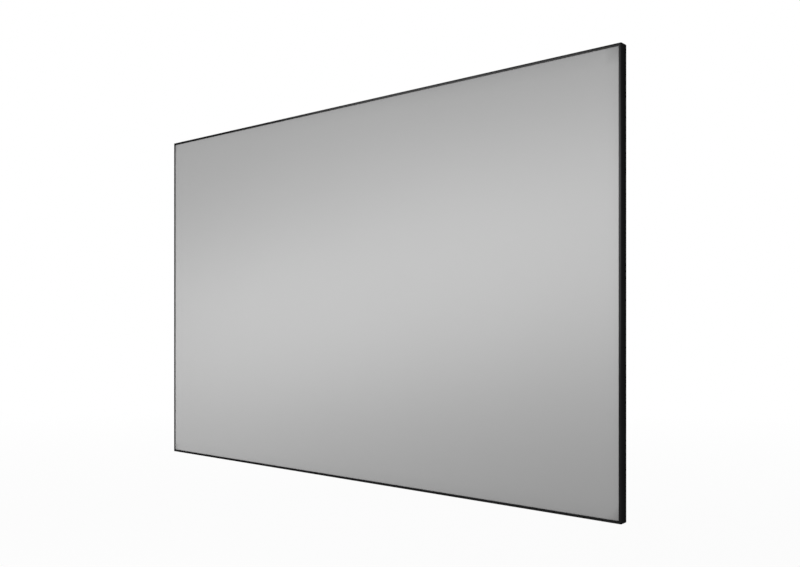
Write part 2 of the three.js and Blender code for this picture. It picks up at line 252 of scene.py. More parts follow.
# Black anodised aluminium, with the die lines of an extrusion along its length

anodisedLooks = {
    "trim": {
        "dark": (0.0105, 0.0105, 0.0107),
        "light": (0.0145, 0.0145, 0.0148),
        "roughness": 0.27,
        "metallic": 1,
        "gloss": 0.5,
    },
    "rail": {
        "dark": (0.024, 0.024, 0.025),
        "light": (0.040, 0.040, 0.042),
        "roughness": 0.46,
        "metallic": 0,
        "gloss": 0.35,
    },
    "edgeTint": (0.42, 0.42, 0.42, 1),
    "drawnOut": 0.004,
    "lineNoise": (1500, 2, 0.6),
    "speckNoise": (900, 2),
    "cloudNoise": (9, 2),
    "lineSpread": 0.08,
    "cloudSpread": 0.06,
    "lineShare": 0.7,
    "bumpStrength": 0.12,
    "relief": 0.02,
}


# In words: the roughness moves about its middle with the lines and clouds, and lines and
# specks together make the bump.
def anodised(kind, direction, lengthAxis):
    looks = anodisedLooks
    own = looks[kind]
    f = newFinish(kind + direction)
    lines = f.noise(f.lengthwise(lengthAxis, looks["drawnOut"]), *looks["lineNoise"])
    specks = f.noise(f.place(), *looks["speckNoise"])
    clouds = f.noise(f.place(), *looks["cloudNoise"])
    smoothest = own["roughness"] - (looks["lineSpread"] + looks["cloudSpread"]) / 2
    relief = lines * looks["lineShare"] + specks * (1 - looks["lineShare"])
    return f.close({
        "Base Color": f.tone(clouds * 0.5 + specks * 0.5, own["dark"], own["light"]),
        "Roughness": smoothest + lines * looks["lineSpread"] + clouds * looks["cloudSpread"],
        "Metallic": own["metallic"],
        "Specular IOR Level": own["gloss"],
        "Specular Tint": looks["edgeTint"],
        "Normal": f.bump(relief, looks["bumpStrength"], looks["relief"]),
    })


# Zinc plate: crystals of slightly different grey

zincLooks = {
    "dark": (0.42, 0.43, 0.45),
    "light": (0.62, 0.63, 0.65),
    "crystalsPerMetre": 130,
    "hazeNoise": (40, 4),
    "grainNoise": (1400, 2),
    "roughness": 0.30,
    "crystalSpread": 0.08,
    "hazeSpread": 0.10,
    "bumpStrength": 0.15,
    "relief": 0.04,
}


def zincPlate():
    looks = zincLooks
    f = newFinish("zincPlate")
    cells = {"Vector": f.place(), "Scale": looks["crystalsPerMetre"]}
    crystals = f.node("ShaderNodeTexVoronoi", {}, cells, output=1)
    spangle = f.node("ShaderNodeSeparateColor", {}, {0: crystals})
    haze = f.noise(f.place(), *looks["hazeNoise"])
    grain = f.noise(f.place(), *looks["grainNoise"])
    spread = spangle * looks["crystalSpread"] + haze * looks["hazeSpread"]
    return f.close({
        "Base Color": f.tone(spangle * 0.5 + haze * 0.5, looks["dark"], looks["light"]),
        "Metallic": 1,
        "Roughness": looks["roughness"] + spread,
        "Normal": f.bump(grain, looks["bumpStrength"], looks["relief"]),
    })


# Small parts. A noise is given by its scale, detail and roughness: one makes patches of
# tone, and the other is the skin, which moves the roughness and makes the bump.

partLooks = {
    "castMetal": {
        "dark": (0.24, 0.24, 0.25),
        "light": (0.36, 0.36, 0.37),
        "metallic": 1,
        "toneNoise": (60, 3),
        "skinNoise": (700, 4, 0.65),
        "roughness": 0.48,
        "spread": 0.14,
        "bumpStrength": 0.5,
        "relief": 0.1,
    },
    "springSteel": {
        "dark": (0.46, 0.46, 0.47),
        "light": (0.62, 0.62, 0.63),
        "metallic": 1,
        "toneNoise": (500, 3),
        "skinNoise": (500, 3),
        "roughness": 0.24,
        "spread": 0.14,
        "bumpStrength": 0.1,
        "relief": 0.03,
    },
    "screwZinc": {
        "dark": (0.42, 0.43, 0.45),
        "light": (0.62, 0.63, 0.65),
        "metallic": 1,
        "toneNoise": (420, 3),
        "skinNoise": (420, 3),
        "roughness": 0.26,
        "spread": 0.16,
        "bumpStrength": 0.1,
        "relief": 0.03,
    },
    "mouldedPlastic": {
        "dark": (0.010, 0.010, 0.011),
        "light": (0.020, 0.020, 0.021),
        "metallic": 0,
        "toneNoise": (45, 2),
        "skinNoise": (1100, 3, 0.6),
        "roughness": 0.50,
        "spread": 0.14,
        "bumpStrength": 0.45,
        "relief": 0.08,
    },
}


def partFinish(name):
    looks = partLooks[name]
    f = newFinish(name)
    patches = f.noise(f.place(), *looks["toneNoise"])
    skin = f.noise(f.place(), *looks["skinNoise"])
    return f.close({
        "Base Color": f.tone(patches, looks["dark"], looks["light"]),
        "Metallic": looks["metallic"],
        "Roughness": looks["roughness"] + skin * looks["spread"],
        "Normal": f.bump(skin, looks["bumpStrength"], looks["relief"]),
    })


# Pulled fibreglass: pale, with fibres along the rod

fibreLooks = {
    "dark": (0.50, 0.48, 0.42),
    "light": (0.66, 0.64, 0.57),
    "drawnOut": 0.01,
    "fibreNoise": (2600, 3),
    "roughness": 0.34,
    "spread": 0.12,
    "bumpStrength": 0.25,
    "relief": 0.03,
}


def fibreglass(name, lengthAxis):
    looks = fibreLooks
    f = newFinish(name)
    fibres = f.noise(f.lengthwise(lengthAxis, looks["drawnOut"]), *looks["fibreNoise"])
    return f.close({
        "Base Color": f.tone(fibres, looks["dark"], looks["light"]),
        "Roughness": looks["roughness"] + fibres * looks["spread"],
        "Normal": f.bump(fibres, looks["bumpStrength"], looks["relief"]),
    })


finishes = {name: partFinish(name) for name in partLooks}
finishes["zincPlate"] = zincPlate()
for direction, axis in {"Across": "X", "Upright": "Z"}.items():
    for kind in ("trim", "rail"):
        finishes[kind + direction] = anodised(kind, direction, axis)
    finishes["rod" + direction] = fibreglass("rod" + direction, axis)
print("finishes made:", len(finishes))


def directionOf(sideName):
    return "Across" if sideName in ("top", "bottom") else "Upright"


# Mesh tools. Points nearer than the weld distance, in metres, become one.

weldDistance = 2e-6


# Point on a side. In words: the distance out is the side's reach less the distance inward,
# and the pair (along, out) is turned about the screen's middle by the side's turn.
def onSide(sideName, along, inward, back):
    side = sides[sideName]
    out = side["reach"] - np.asarray(inward, float)
    along = np.asarray(along, float)
    x = along * math.cos(side["turn"]) + out * math.sin(side["turn"])
    z = -along * math.sin(side["turn"]) + out * math.cos(side["turn"])
    y = np.asarray(back, float) - overallDepth / 2
    return np.stack(np.broadcast_arrays(x, y, z), axis=-1)


# Faces of a grid: each joins two neighbouring rows and two neighbouring columns
def gridFaces(rows, columns, roundColumns=False):
    index = np.arange(rows * columns).reshape(rows, columns)
    if roundColumns:
        index = np.hstack([index, index[:, :1]])
    corners = [index[:-1, :-1], index[1:, :-1], index[1:, 1:], index[:-1, 1:]]
    return np.stack(corners, axis=-1).reshape(-1, 4)


# Merges points that meet and turns the faces outward
def mendMesh(mesh, distance):
    shape = bmesh.new()
    shape.from_mesh(mesh)
    bmesh.ops.remove_doubles(shape, verts=shape.verts, dist=distance)
    bmesh.ops.recalc_face_normals(shape, faces=shape.faces)
    shape.to_mesh(mesh)
    shape.free()


# Object from surfaces, each a pair of points and groups of faces
def makePiece(name, surfaces, material, smoothBelow=40):
    points = []
    faces = []
    start = 0
    for surfacePoints, surfaceFaces in surfaces:
        flatPoints = np.asarray(surfacePoints, float).reshape(-1, 3)
        points.append(flatPoints)
        for group in surfaceFaces:
            faces.extend((np.asarray(group) + start).tolist())
        start += len(flatPoints)
    mesh = bpy.data.meshes.new(name)
    mesh.from_pydata((np.concatenate(points) * mm).tolist(), [], faces)
    mendMesh(mesh, weldDistance)
    mesh.shade_smooth()
    mesh.set_sharp_from_angle(angle=math.radians(smoothBelow))
    mesh.materials.append(material)
    piece = bpy.data.objects.new(name, mesh)
    bpy.context.scene.collection.objects.link(piece)
    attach(piece, "root")
    return piece


# Path with its corners rounded, open or closed. In words: a corner is replaced by an arc
# that touches both of its legs, at the radius over the tangent of half the corner's angle.
def roundedPath(corners, radii, steps=5, closed=False):
    corners = np.asarray(corners, float)
    count = len(corners)
    path = []
    for i in range(count):
        here = corners[i]
        isEnd = not closed and i in (0, count - 1)
        if isEnd or radii[i] == 0:
            path.append(here[None])
            continue
        before = corners[i - 1] - here
        after = corners[(i + 1) % count] - here
        before = before / np.linalg.norm(before)
        after = after / np.linalg.norm(after)
        halfAngle = math.acos(np.clip(before @ after, -1, 1)) / 2
        bisector = (before + after) / np.linalg.norm(before + after)
        middle = here + bisector * radii[i] / math.sin(halfAngle)
        sweep = math.pi - 2 * halfAngle
        start = here + before * radii[i] / math.tan(halfAngle) - middle
        end = here + after * radii[i] / math.tan(halfAngle) - middle
        share = np.linspace(0, 1, steps + 1)[:, None]
        arc = np.sin((1 - share) * sweep) * start + np.sin(share * sweep) * end
        path.append(middle + arc / math.sin(sweep))
    return np.concatenate(path)


# Springs from the rods to the rails' ribs. The cloth's notches follow their places.

springs = {
    "pitch": 180,
    "inset": 100,
    "diameter": 6,
    "wire": 1.2,
    "aroundWire": 6,
    "turns": 11,
    "pointsPerTurn": 12,
    "lead": 4.2,
    "leadPoints": 8,
    "leadPull": 0.7,
    "bodyPull": 0.8,
    "tail": 1.5,
    "ringStartDegrees": -50,
    "ringEndDegrees": -335,
    "ringPoints": 28,
    "hookDrop": 4.5,
    "hookRadii": (1.2, 0.9),
    "smoothBelow": 60,
}


# Spring places along a side: evenly spread, at most a pitch apart
def springSpots(length):
    reach = length / 2 - springs["inset"]
    count = math.ceil(2 * reach / springs["pitch"]) + 1
    return np.linspace(-reach, reach, count)


# Screen cloth, one sheet folded over the frame's edge to a hem round the rods

cloth = {
    "foldRadius": 1.0,
    "foldPoints": 5,
    "flapInset": 62,
    "hemTurnDegrees": 318,
    "hemPoints": 19,
    "notchWidth": 12,
    "frontSpacing": 48,
    "placeDigits": 4,
}


# One half of the cloth's section, from the front fold to the end of the hem. In words:
# a quarter turn to the side, the side, a quarter turn to the back, the flap, and a loop.
# The zones are 1 for the folds, 2 for the flap and 3 for the hem.
def clothWrap():
    half = section["clothThickness"] / 2
    radius = cloth["foldRadius"]
    side = clothOut + half
    front = clothFront + half
    back = clothBack - half
    hemRadius = hemOuter - half
    quarter = np.linspace(0, math.pi / 2, cloth["foldPoints"])
    frontFold = np.column_stack([
        side + radius - radius * np.sin(quarter),
        front + radius - radius * np.cos(quarter),
    ])
    backFold = np.column_stack([
        side + radius - radius * np.cos(quarter),
        back - radius + radius * np.sin(quarter),
    ])
    flap = np.array([[notchIn, back]])
    loop = np.radians(np.linspace(0, cloth["hemTurnDegrees"], cloth["hemPoints"]))
    hem = np.column_stack([
        rodIn + hemRadius * np.sin(loop),
        rodBack + hemRadius * np.cos(loop),
    ])
    zones = np.repeat([1, 1, 2, 3], [len(frontFold), len(backFold), len(flap), len(hem)])
    return np.concatenate([frontFold, backFold, flap, hem]), zones


# Grid lines across the whole cloth in one direction: place from the middle, depth, flat
# place, the zone of each strip between two lines, and whether it holds a flap or a notch
def clothLines(length):
    wrap, zones = clothWrap()
    foldStart = length / 2 - wrap[0, 0]
    flapEnd = length / 2 - cloth["flapInset"]
    spots = springSpots(length)
    halfNotch = cloth["notchWidth"] / 2
    plain = np.linspace(-foldStart, foldStart, int(2 * foldStart / cloth["frontSpacing"]))
    lines = np.concatenate([plain[1:-1], spots - halfNotch, spots + halfNotch, [-flapEnd, flapEnd]])
    lines = np.unique(np.round(lines, cloth["placeDigits"]))
    beyond = length / 2 - wrap[:, 0]
    steps = np.hypot(*np.diff(wrap, axis=0).T)
    flatBeyond = foldStart + np.concatenate([[0], np.cumsum(steps)])
    place = np.concatenate([-beyond[::-1], lines, beyond])
    depth = np.concatenate([wrap[::-1, 1], np.full(len(lines), wrap[0, 1]), wrap[:, 1]])
    flat = np.concatenate([-flatBeyond[::-1], lines, flatBeyond])
    stripZones = np.concatenate([zones[1:][::-1], np.zeros(len(lines) + 1, int), zones[1:]])
    middles = (place[:-1] + place[1:]) / 2
    isFace = stripZones == 0
    holdsFlap = isFace & (np.abs(middles) < flapEnd)
    inNotch = isFace & (np.abs(middles[:, None] - spots) < halfNotch).any(1)
    return place, depth, flat, stripZones, holdsFlap, inNotch


# Cloth finishes: a matt grey face with a faint weave, pressed flat where the hem is welded,
# and a black backing

clothLooks = {
    "faceDark": (0.363, 0.363, 0.363),
    "faceLight": (0.377, 0.377, 0.377),
    "faceRoughness": 0.46,
    "faceSpread": 0.04,
    "faceGloss": 0.39,
    "faceBump": 0.3,
    "cloudNoise": (2.2, 1),
    "grainNoise": (260, 2),
    "cloudShare": 0.6,
    "threadPitch": 0.9,
    "threadHeight": 0.03,
    "threadShare": 0.8,
    "weldTone": (0.24, 0.24, 0.24),
    "weldFromEdge": 16.6,
    "weldWidth": 5,
    "weldSoftness": 0.5,
    "weldRibPitch": 1.2,
    "weldRibHeight": 4,
    "weldDepth": 6,
    "weldPolish": 0.08,
    "backDark": (0.012, 0.012, 0.013),
    "backLight": (0.022, 0.022, 0.023),
    "backRoughness": 0.62,
    "backSpread": 0.12,
    "backBump": 0.4,
    "backNoise": (180, 2),
}


# Bands across and up the flat cloth, one for each thread. A band pattern repeats 20 / tau
# times its scale in a metre.
def threads(f, flat, pitch):
    scale = math.tau / 20 / (pitch * mm)
    return f.wave(flat, scale, "X") * 0.5 + f.wave(flat, scale, "Y") * 0.5


# Strip beside the hem, found by its distance from the flat cloth's edge. In words: the
# distance is the smaller of both half sizes less the place along that direction.
def weldStrip(f, flat):
    distances = []
    for output, length in enumerate((outerWidth, outerHeight)):
        place = f.node("ShaderNodeSeparateXYZ", {}, {0: flat}, output)
        half = clothLines(length)[2][-1] * mm
        distances.append(half - f.maths("ABSOLUTE", place))
    edge = f.maths("MINIMUM", *distances)
    start = clothLooks["weldFromEdge"] * mm
    end = start + clothLooks["weldWidth"] * mm
    soft = clothLooks["weldSoftness"] * mm
    return f.rise(edge, start, start + soft) - f.rise(edge, end - soft, end)


# In words: the threads give way to higher ribs inside the weld, which lies lower as a whole.
def clothFace():
    looks = clothLooks
    f = newFinish("clothFace")
    flat = f.node("ShaderNodeUVMap", {"uv_map": "flat"})
    weave = threads(f, flat, looks["threadPitch"])
    ribs = threads(f, flat, looks["weldRibPitch"])
    grain = f.noise(flat, *looks["grainNoise"])
    clouds = f.noise(flat, *looks["cloudNoise"])
    weld = weldStrip(f, flat)
    patches = clouds * looks["cloudShare"] + grain * (1 - looks["cloudShare"])
    face = f.tone(patches, looks["faceDark"], looks["faceLight"])
    pressed = (*looks["weldTone"], 1)
    smoothest = looks["faceRoughness"] - looks["faceSpread"] / 2
    threadPart = weave * (looks["threadShare"] - weld * looks["threadShare"])
    grainPart = grain * (1 - looks["threadShare"])
    weldPart = weld * ribs * looks["weldRibHeight"] - weld * looks["weldDepth"]
    return f.close({
        "Base Color": f.mix(weld * (0.5 + ribs * 0.5), face, pressed),
        "Roughness": smoothest + grain * looks["faceSpread"] - weld * looks["weldPolish"],
        "Specular IOR Level": looks["faceGloss"],
        "Normal": f.bump(threadPart + grainPart + weldPart, looks["faceBump"], looks["threadHeight"]),
    })


# The backing's threads are twice as coarse as the face's.
def clothBacking():
    looks = clothLooks
    f = newFinish("clothBack")
    flat = f.node("ShaderNodeUVMap", {"uv_map": "flat"})
    grain = f.noise(flat, *looks["backNoise"])
    weave = threads(f, flat, 2 * looks["threadPitch"])
    return f.close({
        "Base Color": f.tone(grain, looks["backDark"], looks["backLight"]),
        "Roughness": looks["backRoughness"] + grain * looks["backSpread"],
        "Normal": f.bump(weave, looks["backBump"], 2 * looks["threadHeight"]),
    })


# Cells of the cloth's grid that are cloth. In words: the face is where neither direction
# folds. A zone beyond it is kept along the face, but from the flap on not past the flap's
# ends, and in the hem not at a notch.
def clothCells(across, up):
    keep = np.outer(across[3] == 0, up[3] == 0)

    def faceStrips(lines):
        zones, holdsFlap, inNotch = lines[3:]
        isFace = zones == 0
        return {1: isFace, 2: isFace & holdsFlap, 3: isFace & holdsFlap & ~inNotch}

    for zone in (1, 2, 3):
        keep |= np.outer(faceStrips(across)[zone], up[3] == zone)
        keep |= np.outer(across[3] == zone, faceStrips(up)[zone])
    return keep


# In words: X comes from the place along, Z from the place up, and Y is the sum of both
# depths, since only one of them folds at a time.
def makeCloth():
    across = clothLines(outerWidth)
    up = clothLines(outerHeight)
    thickness = section["clothThickness"]
    front = clothFront + thickness / 2
    x, z = np.meshgrid(across[0], up[0], indexing="ij")
    y = across[1][:, None] + up[1][None, :] - front - overallDepth / 2
    flat = np.stack(np.meshgrid(across[2], up[2], indexing="ij"), -1).reshape(-1, 2)
    rows, columns = x.shape
    cells = gridFaces(rows, columns).reshape(rows - 1, columns - 1, 4)[clothCells(across, up)]
    used, faces = np.unique(cells, return_inverse=True)
    faces = faces.reshape(-1, 4)
    points = np.stack([x, y, z], -1).reshape(-1, 3)[used]

    mesh = bpy.data.meshes.new("screenCloth")
    mesh.from_pydata((points * mm).tolist(), [], faces.tolist())
    layer = mesh.uv_layers.new(name="flat")
    loops = np.zeros(len(mesh.loops), np.int32)
    mesh.loops.foreach_get("vertex_index", loops)
    layer.data.foreach_set("uv", (flat[used] * mm)[loops].ravel())
    mesh.shade_smooth()
    mesh.materials.append(clothFace())
    mesh.materials.append(clothBacking())
    piece = bpy.data.objects.new("screenCloth", mesh)
    bpy.context.scene.collection.objects.link(piece)
    wall = piece.modifiers.new("wall", "SOLIDIFY")
    wall.thickness = thickness * mm
    wall.offset = 0
    wall.use_even_offset = True
    wall.material_offset = 1
    wall.material_offset_rim = 1
    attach(piece, "root")
    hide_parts("screen_cloth")
    size = tuple((lines[2][-1] - lines[2][0]) * mm for lines in (across, up))
    print("cloth made:", len(faces), "faces, flat size", [round(s, 4) for s in size])


makeCloth()


# Edge trims: an L-shaped section with a hooked back edge, mitred at the corners

trim = {
    "hook": 4,
    "frontRadius": 0.8,
    "backRadius": 1.5,
    "lipRadius": 0.4,
    "innerRadius": 0.2,
    "radiusSteps": 6,
    "joint": 0.3,
    "rings": 9,
    "smoothBelow": 50,
}
# Side of each trim, and its start and end: -1 and 1 are corners, and 0 is the middle
spans = {
    "top_left": ("top", -1, 0),
    "top_right": ("top", 0, 1),
    "bottom_left": ("bottom", 0, 1),
    "bottom_right": ("bottom", -1, 0),
    "left": ("left", -1, 1),
    "right": ("right", -1, 1),
}


# Section of the trim, as (inward, back) corners with a radius at each. In words: the side's
# inner face runs beside the outer one at the wall's thickness.
def trimSection():
    depth = screen["frameDepth"]
    wall = section["trimWall"]
    lean = section["trimLean"]
    leanPerDepth = lean / depth
    inner = wall * math.hypot(1, leanPerDepth)
    hookEnd = lean + wall + trim["hook"]
    lip = trim["lipRadius"]
    corners = [
        (screen["bezelWidth"], 0, lip),
        (0, 0, trim["frontRadius"]),
        (lean, depth, trim["backRadius"]),
        (hookEnd, depth, lip),
        (hookEnd, depth - wall, lip),
        (inner + leanPerDepth * (depth - wall), depth - wall, trim["innerRadius"]),
        (inner + leanPerDepth * wall, wall, trim["innerRadius"]),
        (screen["bezelWidth"], wall, lip),
    ]
    places = [corner[:2] for corner in corners]
    radii = [corner[2] for corner in corners]
    return roundedPath(places, radii, trim["radiusSteps"], closed=True)


# Profile carried along a side. In words: an end at the side's own corner is set in by the
# profile's inward distance, which makes the mitre, and an end at the middle is square.
def mitredSweep(sideName, profile, startShare, endShare):
    length = sides[sideName]["length"]
    inward = profile[:, 0]
    back = profile[:, 1]
    start = startShare * (length / 2 - inward) + trim["joint"] / 2
    end = endShare * (length / 2 - inward) - trim["joint"] / 2
    share = np.linspace(0, 1, trim["rings"])[:, None]
    along = start * (1 - share) + end * share
    points = onSide(sideName, along, inward[None, :], back[None, :])
    count = len(profile)
    faces = gridFaces(trim["rings"], count, roundColumns=True)
    last = (trim["rings"] - 1) * count
    return points, [faces, [list(range(count))], [list(range(last, last + count))]]


def makeTrims():
    profile = trimSection()
    for name, (sideName, startShare, endShare) in spans.items():
        surface = mitredSweep(sideName, profile, startShare, endShare)
        pieceName = "trim" + name.title().replace("_", "")
        finish = finishes["trim" + directionOf(sideName)]
        piece = makePiece(pieceName, [surface], finish, trim["smoothBelow"])
        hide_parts("trim_" + name)
    print("trims made:", len(spans))


makeTrims()


# Tension rods

rods = {
    "proud": 5,
    "endChamfer": 0.5,
    "around": 16,
}


# Rod: a circle carried along the side, smaller at both ends
def rodSurface(sideName):
    reach = sides[sideName]["length"] / 2 - cloth["flapInset"] + rods["proud"]
    radius = section["rodDiameter"] / 2
    chamfer = rods["endChamfer"]
    along = np.array([-reach, -reach, -reach + chamfer, 0, reach - chamfer, reach, reach])
    radii = np.array([0, radius - chamfer, radius, radius, radius, radius - chamfer, 0])
    angle = np.linspace(0, math.tau, rods["around"], endpoint=False)
    inward = rodIn + radii[:, None] * np.cos(angle)
    back = rodBack + radii[:, None] * np.sin(angle)
    points = onSide(sideName, along[:, None] + 0 * inward, inward, back)
    return points, [gridFaces(len(along), rods["around"], roundColumns=True)]


# Middle line of one spring's wire, as (along, inward, back), and the direction from which
# its rings start. In words: a ring round the rod, an easing curve to the spring's axis, a
# helix whose radius grows from nothing and shrinks again, and a hook over the rail's rib.
def springLine():
    wire = springs["wire"]
    lead = springs["lead"]
    turns = springs["turns"]
    rodMiddle = np.array([rodIn, rodBack])
    hookTop = ribTop + clearance + wire / 2
    hookIn = ribIn + clearance + wire / 2
    ribEnd = np.array([ribOut - wire, hookTop])
    axisLength = np.linalg.norm(ribEnd - rodMiddle)
    axis = (ribEnd - rodMiddle) / axisLength
    across = np.array([-axis[1], axis[0]])

    ringRadius = section["rodDiameter"] / 2 + clearance + wire / 2
    ringDegrees = (springs["ringStartDegrees"], springs["ringEndDegrees"])
    ringAngle = np.radians(np.linspace(*ringDegrees, springs["ringPoints"]))
    ring = ringRadius * np.column_stack([np.cos(ringAngle), np.sin(ringAngle)])
    ringHeading = np.array([math.sin(ringAngle[-1]), -math.cos(ringAngle[-1])])
    leadEnd = np.array([lead, 0])
    t = np.linspace(0, 1, springs["leadPoints"])[1:, None]
    ease = (
        (1 - t) ** 3 * ring[-1]
        + 3 * (1 - t) ** 2 * t * (ring[-1] + ringHeading * springs["leadPull"])
        + 3 * (1 - t) * t**2 * (leadEnd - [springs["bodyPull"], 0])
        + t**3 * leadEnd
    )

    share = np.linspace(0, 1, turns * springs["pointsPerTurn"] + 1)[1:]
    angle = share * math.tau * turns
    grown = np.clip(np.minimum(share, 1 - share) * turns * 2, 0, 1)
    radius = (springs["diameter"] - wire) / 2 * np.sin(grown * math.pi / 2)
    bodyEnd = axisLength - springs["tail"]
    alongAxis = lead + share * (bodyEnd - lead)

    hookPath = [
        rodMiddle + axis * bodyEnd,
        ribEnd,
        (hookIn, hookTop),
        (hookIn, hookTop - springs["hookDrop"]),
    ]
    hook = roundedPath(hookPath, [0, *springs["hookRadii"], 0])[1:]

    planar = np.concatenate([ring, ease])
    before = rodMiddle + planar[:, :1] * axis + planar[:, 1:] * across
    helix = rodMiddle + alongAxis[:, None] * axis + (radius * np.sin(angle))[:, None] * across
    along = np.concatenate([np.zeros(len(before)), radius * np.cos(angle), np.zeros(len(hook))])
    turn = np.concatenate([np.zeros(len(before)), angle, np.full(len(hook), angle[-1])])
    line = np.column_stack([along, np.concatenate([before, helix, hook])])
    radial = np.column_stack([np.cos(turn), np.sin(turn) * across[0], np.sin(turn) * across[1]])
    return line, radial


# Tube round a line. In words: each ring lies across the line's heading, and starts from
# the given radial direction with its part along the heading taken off.
def tube(line, radial, radius, around):
    heading = np.gradient(line, axis=0)
    heading /= np.linalg.norm(heading, axis=1, keepdims=True)
    first = radial - (radial * heading).sum(1, keepdims=True) * heading
    first /= np.linalg.norm(first, axis=1, keepdims=True)
    second = np.cross(heading, first)
    angle = np.linspace(0, math.tau, around, endpoint=False)[None, :, None]
    ring = np.cos(angle) * first[:, None] + np.sin(angle) * second[:, None]
    return line[:, None] + radius * ring


# All springs of a side: one tube with closed ends, repeated at each place along the side
def springSurface(sideName):
    line, radial = springLine()
    around = springs["aroundWire"]
    wall = tube(line, radial, springs["wire"] / 2, around)
    startCap = np.repeat(line[:1], around, axis=0)[None]
    endCap = np.repeat(line[-1:], around, axis=0)[None]
    wall = np.concatenate([startCap, wall, endCap])[None]
    spots = springSpots(sides[sideName]["length"])
    along = wall[..., 0] + spots[:, None, None]
    points = onSide(sideName, along, wall[..., 1] + 0 * along, wall[..., 2] + 0 * along)
    one = gridFaces(wall.shape[1], around, roundColumns=True)
    starts = np.arange(len(spots))[:, None, None] * wall.shape[1] * around
    return points, [(one[None] + starts).reshape(-1, 4)]


def makeRodsAndSprings():
    for sideName in sides:
        title = sideName.title()
        rodFinish = finishes["rod" + directionOf(sideName)]
        rod = makePiece("rod" + title, [rodSurface(sideName)], rodFinish)
        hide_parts("tension_rod_" + sideName)
        row = makePiece(
            "springs" + title,
            [springSurface(sideName)],
            finishes["springSteel"],
            springs["smoothBelow"],
        )
        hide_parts("tension_rod_" + sideName)
    total = sum(len(springSpots(side["length"])) for side in sides.values())
    print("rods and springs made:", total, "springs")


makeRodsAndSprings()


# Button screws with a hexagon socket

screws = {
    "diameter": 4,
    "headDiameter": 6.5,
    "headHeight": 2,
    "headRim": 0.7,
    "rimEdge": 0.15,
    "domePoints": 6,
    "flatToSocket": 1.25,
    "socketAcross": 2.5,
    "socketDepth": 1.2,
    "socketEdge": 0.05,
    "socketPoint": 0.3,
    "tipChamfer": 0.6,
    "threadPitch": 0.7,
    "threadDepth": 0.2,
    "plainNeck": 0.3,
    "plainTip": 0.5,
    "around": 24,
}


# Screw whose head's seat is at height 0. In words: rings of a radius at a height, of which
# those of the socket are drawn out to a hexagon, and the last one closes to a point.
def screwRings(shankLength):
    outer = screws["headDiameter"] / 2
    height = screws["headHeight"]
    rim = screws["headRim"]
    edge = screws["rimEdge"]
    apothem = screws["socketAcross"] / 2
    shank = screws["diameter"] / 2
    floor = height - screws["socketDepth"]
    turns = int(shankLength / screws["threadPitch"])
    crest = np.linspace(screws["plainTip"] - shankLength, -screws["plainNeck"], 2 * turns + 1)
    crestRadius = shank - screws["threadDepth"] * (np.arange(len(crest)) % 2)
    dome = np.linspace(0, math.pi / 2, screws["domePoints"])[1:]
    domeRadius = outer - (outer - apothem * screws["flatToSocket"]) * (1 - np.cos(dome))
    domeHeight = rim + (height - rim) * np.sin(dome)
    radii = [0, shank - screws["tipChamfer"], *crestRadius, shank, outer - edge, outer, outer]
    radii += [*domeRadius, apothem, apothem, 0]
    heights = [-shankLength, -shankLength, *crest, 0, 0, edge, rim]
    heights += [*domeHeight, height - screws["socketEdge"], floor, floor - screws["socketPoint"]]
    isHexagon = np.zeros((len(radii), 1))
    isHexagon[-3:-1] = 1
    angle = np.linspace(0, math.tau, screws["around"], endpoint=False)
    sixth = (angle + math.pi / 6) % (math.pi / 3) - math.pi / 6
    reach = np.asarray(radii)[:, None] * (1 - isHexagon + isHexagon / np.cos(sixth))
    return reach * np.cos(angle), reach * np.sin(angle), np.asarray(heights)[:, None] + 0 * reach


railScrews = {
    "shankLength": 8.6,
    "cornerInset": 45,
    "joinerLength": 160,
    "joinerInset": 18,
    "joinerPitch": 32,
}
clipScrews = {
    "barSpacing": 740,
}


# Screw through the inner wall of a side's tube, its head towards the screen's middle
def railScrew(sideName, along):
    u, v, height = screwRings(railScrews["shankLength"])
    seatInward = tubeIn + clearance
    middleBack = (flangeBack + rodBack - hemOuter) / 2
    points = onSide(sideName, along + u, seatInward + height, middleBack + v)
    return points, [gridFaces(*u.shape, roundColumns=True)]


# Screw through a bar clip, its head towards the wall
def clipScrew(sideName, along, shankLength):
    u, v, height = screwRings(shankLength)
    middleInward = (riserIn + shelfOut) / 2
    points = onSide(sideName, along + u, middleInward + v, clipBack + clearance + height)
    return points, [gridFaces(*u.shape, roundColumns=True)]


def makeScrews():
    longSides = ("top", "bottom")
    outerJoiner = railScrews["joinerLength"] / 2 - railScrews["joinerInset"]
    innerJoiner = outerJoiner - railScrews["joinerPitch"]
    corner = []
    for sideName, side in sides.items():
        reach = side["length"] / 2 - railScrews["cornerInset"]
        corner += [railScrew(sideName, reach), railScrew(sideName, -reach)]
    joiner = []
    for sideName in longSides:
        for along in (-outerJoiner, -innerJoiner, innerJoiner, outerJoiner):
            joiner.append(railScrew(sideName, along))
    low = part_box("clip_screw_top_left")[0]
    shankLength = clipBack + clearance - (low.y / mm + overallDepth / 2)
    clip = []
    for sideName in longSides:
        for hand in (-1, 1):
            clip.append(clipScrew(sideName, hand * clipScrews["barSpacing"] / 2, shankLength))

    stands = {
        "corner": [f"{side}_{i}" for side in sides for i in (1, 2)],
        "joiner": [f"{side}_{i}" for side in longSides for i in (1, 2, 3, 4)],
        "clip": [f"{side}_{hand}" for side in longSides for hand in ("left", "right")],
    }
    for kind, surfaces in {"corner": corner, "joiner": joiner, "clip": clip}.items():
        piece = makePiece(kind + "Screws", surfaces, finishes["screwZinc"])
        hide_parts(*[f"{kind}_screw_{end}" for end in stands[kind]])
    print("screws made:", len(corner) + len(joiner) + len(clip))


makeScrews()


# Finishes for the frame's own nodes, by the start of their names

